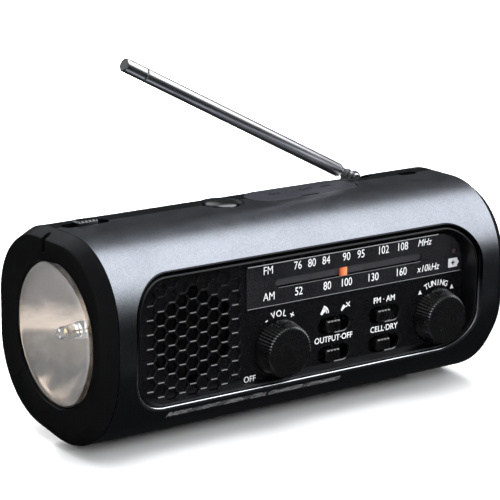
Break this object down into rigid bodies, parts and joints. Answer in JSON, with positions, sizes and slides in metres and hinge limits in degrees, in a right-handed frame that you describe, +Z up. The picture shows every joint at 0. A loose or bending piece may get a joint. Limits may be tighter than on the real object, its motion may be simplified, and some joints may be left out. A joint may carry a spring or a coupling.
{
  "type": "emergency radio",
  "caption": "Hand-crank emergency radio: rounded bar body with a torch in one end, a recessed front panel with speaker, dial, knobs and switches, and a folding telescopic antenna.",
  "frame": {"origin": "on the flat underside of the base pad, midway along the body", "axes": "+X to the radio's right seen from the front, +Y to the rear, +Z up"},
  "size_m": [0.19, 0.079, 0.1395],
  "materials": {
    "body_paint": "satin gunmetal metallic paint",
    "shell_black": "fine matte texture",
    "panel_black": "semi-matte, very fine texture",
    "knob_black": "matte",
    "chrome": "polished",
    "clear_lens": "clear polycarbonate",
    "dial_smoke": "lightly smoked",
    "reflector": "vacuum metallised, satin",
    "dial_print": "black print carrier",
    "pointer_orange": "fluorescent orange",
    "led_red": "diffused red",
    "port_rubber": "soft grey-blue rubber",
    "foot_rubber": "black rubber",
    "board_green": "solder mask",
    "steel": "plated",
    "white_plastic": "acetal",
    "cone_paper": "pressed paper",
    "ferrite": "sintered ferrite",
    "cell_wrap": "shrink wrap"
  },
  "bodies": {
    "base": {"front_shell": "body_paint", "rear_shell": "shell_black", "left_end_cap": "shell_black", "right_end_cap": "shell_black", "front_panel": "panel_black", "dc_jack": "panel_black", "earphone_jack": "panel_black", "strap_bar": "chrome", "torch_lens": "clear_lens", "torch_led": "clear_lens", "dial_window": "dial_smoke", "torch_reflector": "reflector", "dial_scale": "dial_print", "charge_led": "led_red", "base_pad": "foot_rubber", "main_board": "board_green", "control_board": "board_green", "usb_port": "steel", "volume_pot": "steel", "button_switch": "steel", "led_holder": "steel", "speaker_frame": "steel", "case_screw_1": "steel", "case_screw_2": "steel", "idler_axle": "steel", "dynamo_housing": "steel", "tuning_capacitor": "white_plastic", "speaker_cone": "cone_paper", "ferrite_rod": "ferrite", "rechargeable_cell": "cell_wrap", "dry_cell_1": "cell_wrap", "dry_cell_2": "cell_wrap", "dry_cell_3": "cell_wrap"},
    "volume": {"volume_knob": "knob_black"},
    "tuning": {"tuning_knob": "knob_black", "tuning_drum": "white_plastic"},
    "pointer": {"dial_pointer": "pointer_orange"},
    "button": {"top_button": "knob_black"},
    "lamp_slider": {"light_switch": "knob_black"},
    "siren_slider": {"siren_switch": "knob_black"},
    "output_slider": {"output_switch": "knob_black"},
    "band_slider": {"band_switch": "knob_black"},
    "battery_slider": {"battery_switch": "knob_black"},
    "port_flap": {"port_cover": "port_rubber"},
    "battery_lid": {"battery_door": "shell_black"},
    "crank": {"crank_hub": "knob_black", "crank_gear": "white_plastic", "crank_arm": "knob_black"},
    "grip_hinge": {"grip_spindle": "steel"},
    "grip": {"crank_grip": "knob_black"},
    "idler": {"idler_gear": "white_plastic"},
    "rotor": {"dynamo_rotor": "ferrite"},
    "aerial_swivel": {"antenna_base": "chrome", "antenna_pin": "chrome"},
    "mast_1": {"antenna_section_1": "chrome"},
    "mast_2": {"antenna_section_2": "chrome"},
    "mast_3": {"antenna_section_3": "chrome"},
    "mast_4": {"antenna_section_4": "chrome"}
  },
  "joints": [
    {"name": "top_button_press", "type": "slide", "parent": "base", "child": "button", "axis": [0, 0, -1], "range_m": [0, 0.0015], "stiffness_N_per_m": 300},
    {"name": "light_switch_slide", "type": "slide", "parent": "base", "child": "lamp_slider", "axis": [1, 0, 0], "range_m": [-0.0035, 0.0035]},
    {"name": "siren_switch_slide", "type": "slide", "parent": "base", "child": "siren_slider", "axis": [1, 0, 0], "range_m": [0, 0.0034]},
    {"name": "output_switch_slide", "type": "slide", "parent": "base", "child": "output_slider", "axis": [1, 0, 0], "range_m": [0, 0.0034]},
    {"name": "band_switch_slide", "type": "slide", "parent": "base", "child": "band_slider", "axis": [1, 0, 0], "range_m": [0, 0.0034]},
    {"name": "battery_switch_slide", "type": "slide", "parent": "base", "child": "battery_slider", "axis": [1, 0, 0], "range_m": [0, 0.0034]},
    {"name": "volume_turn", "type": "hinge", "parent": "base", "child": "volume", "pos_m": [-0.0124, -0.0288, 0.0316], "axis": [0, 1, 0], "range_deg": [0, 280]},
    {"name": "tuning_turn", "type": "hinge", "parent": "base", "child": "tuning", "pos_m": [0.065, -0.0288, 0.0318], "axis": [0, 1, 0], "range_deg": [-230, 286]},
    {"name": "pointer_slide", "type": "slide", "parent": "base", "child": "pointer", "axis": [1, 0, 0], "range_m": [-0.0289, 0.0359]},
    {"name": "port_cover_open", "type": "hinge", "parent": "base", "child": "port_flap", "pos_m": [0.02225, 0.0131, 0.082], "axis": [-1, 0, 0], "range_deg": [0, 85]},
    {"name": "battery_door_off", "type": "slide", "parent": "base", "child": "battery_lid", "axis": [0, 1, 0], "range_m": [0, 0.025]},
    {"name": "crank_spin", "type": "hinge", "parent": "base", "child": "crank", "pos_m": [0.028, 0.0355, 0.045], "axis": [0, 1, 0], "continuous": true},
    {"name": "grip_fold", "type": "hinge", "parent": "crank", "child": "grip_hinge", "pos_m": [-0.018, 0.0363, 0.045], "axis": [0, 0, 1], "range_deg": [0, 90]},
    {"name": "grip_spin", "type": "hinge", "parent": "grip_hinge", "child": "grip", "pos_m": [-0.0032, 0.0363, 0.045], "axis": [1, 0, 0], "continuous": true},
    {"name": "idler_spin", "type": "hinge", "parent": "base", "child": "idler", "pos_m": [0.048, 0.023, 0.045], "axis": [0, 1, 0], "continuous": true},
    {"name": "rotor_spin", "type": "hinge", "parent": "base", "child": "rotor", "pos_m": [0.064, 0.012, 0.045], "axis": [0, 1, 0], "continuous": true},
    {"name": "antenna_swivel", "type": "hinge", "parent": "base", "child": "aerial_swivel", "pos_m": [0.0568, 0.017, 0.0811], "axis": [0, 0, 1], "range_deg": [-90, 180]},
    {"name": "antenna_tilt", "type": "hinge", "parent": "aerial_swivel", "child": "mast_1", "pos_m": [0.0568, 0.017, 0.0811], "axis": [0, 1, 0], "range_deg": [-27.33, 62.67]},
    {"name": "antenna_extend_1", "type": "slide", "parent": "mast_1", "child": "mast_2", "axis": [-0.8884, 0, 0.4591], "range_m": [0, 0.09]},
    {"name": "antenna_extend_2", "type": "slide", "parent": "mast_2", "child": "mast_3", "axis": [-0.8884, 0, 0.4591], "range_m": [0, 0.09]},
    {"name": "antenna_extend_3", "type": "slide", "parent": "mast_3", "child": "mast_4", "axis": [-0.8884, 0, 0.4591], "range_m": [0, 0.09]}
  ],
  "couplings": [
    {"joint": "pointer_slide", "follows": "tuning_turn", "m_per_rad": 0.00717},
    {"joint": "idler_spin", "follows": "crank_spin", "ratio": -4},
    {"joint": "rotor_spin", "follows": "crank_spin", "ratio": 12}
  ]
}
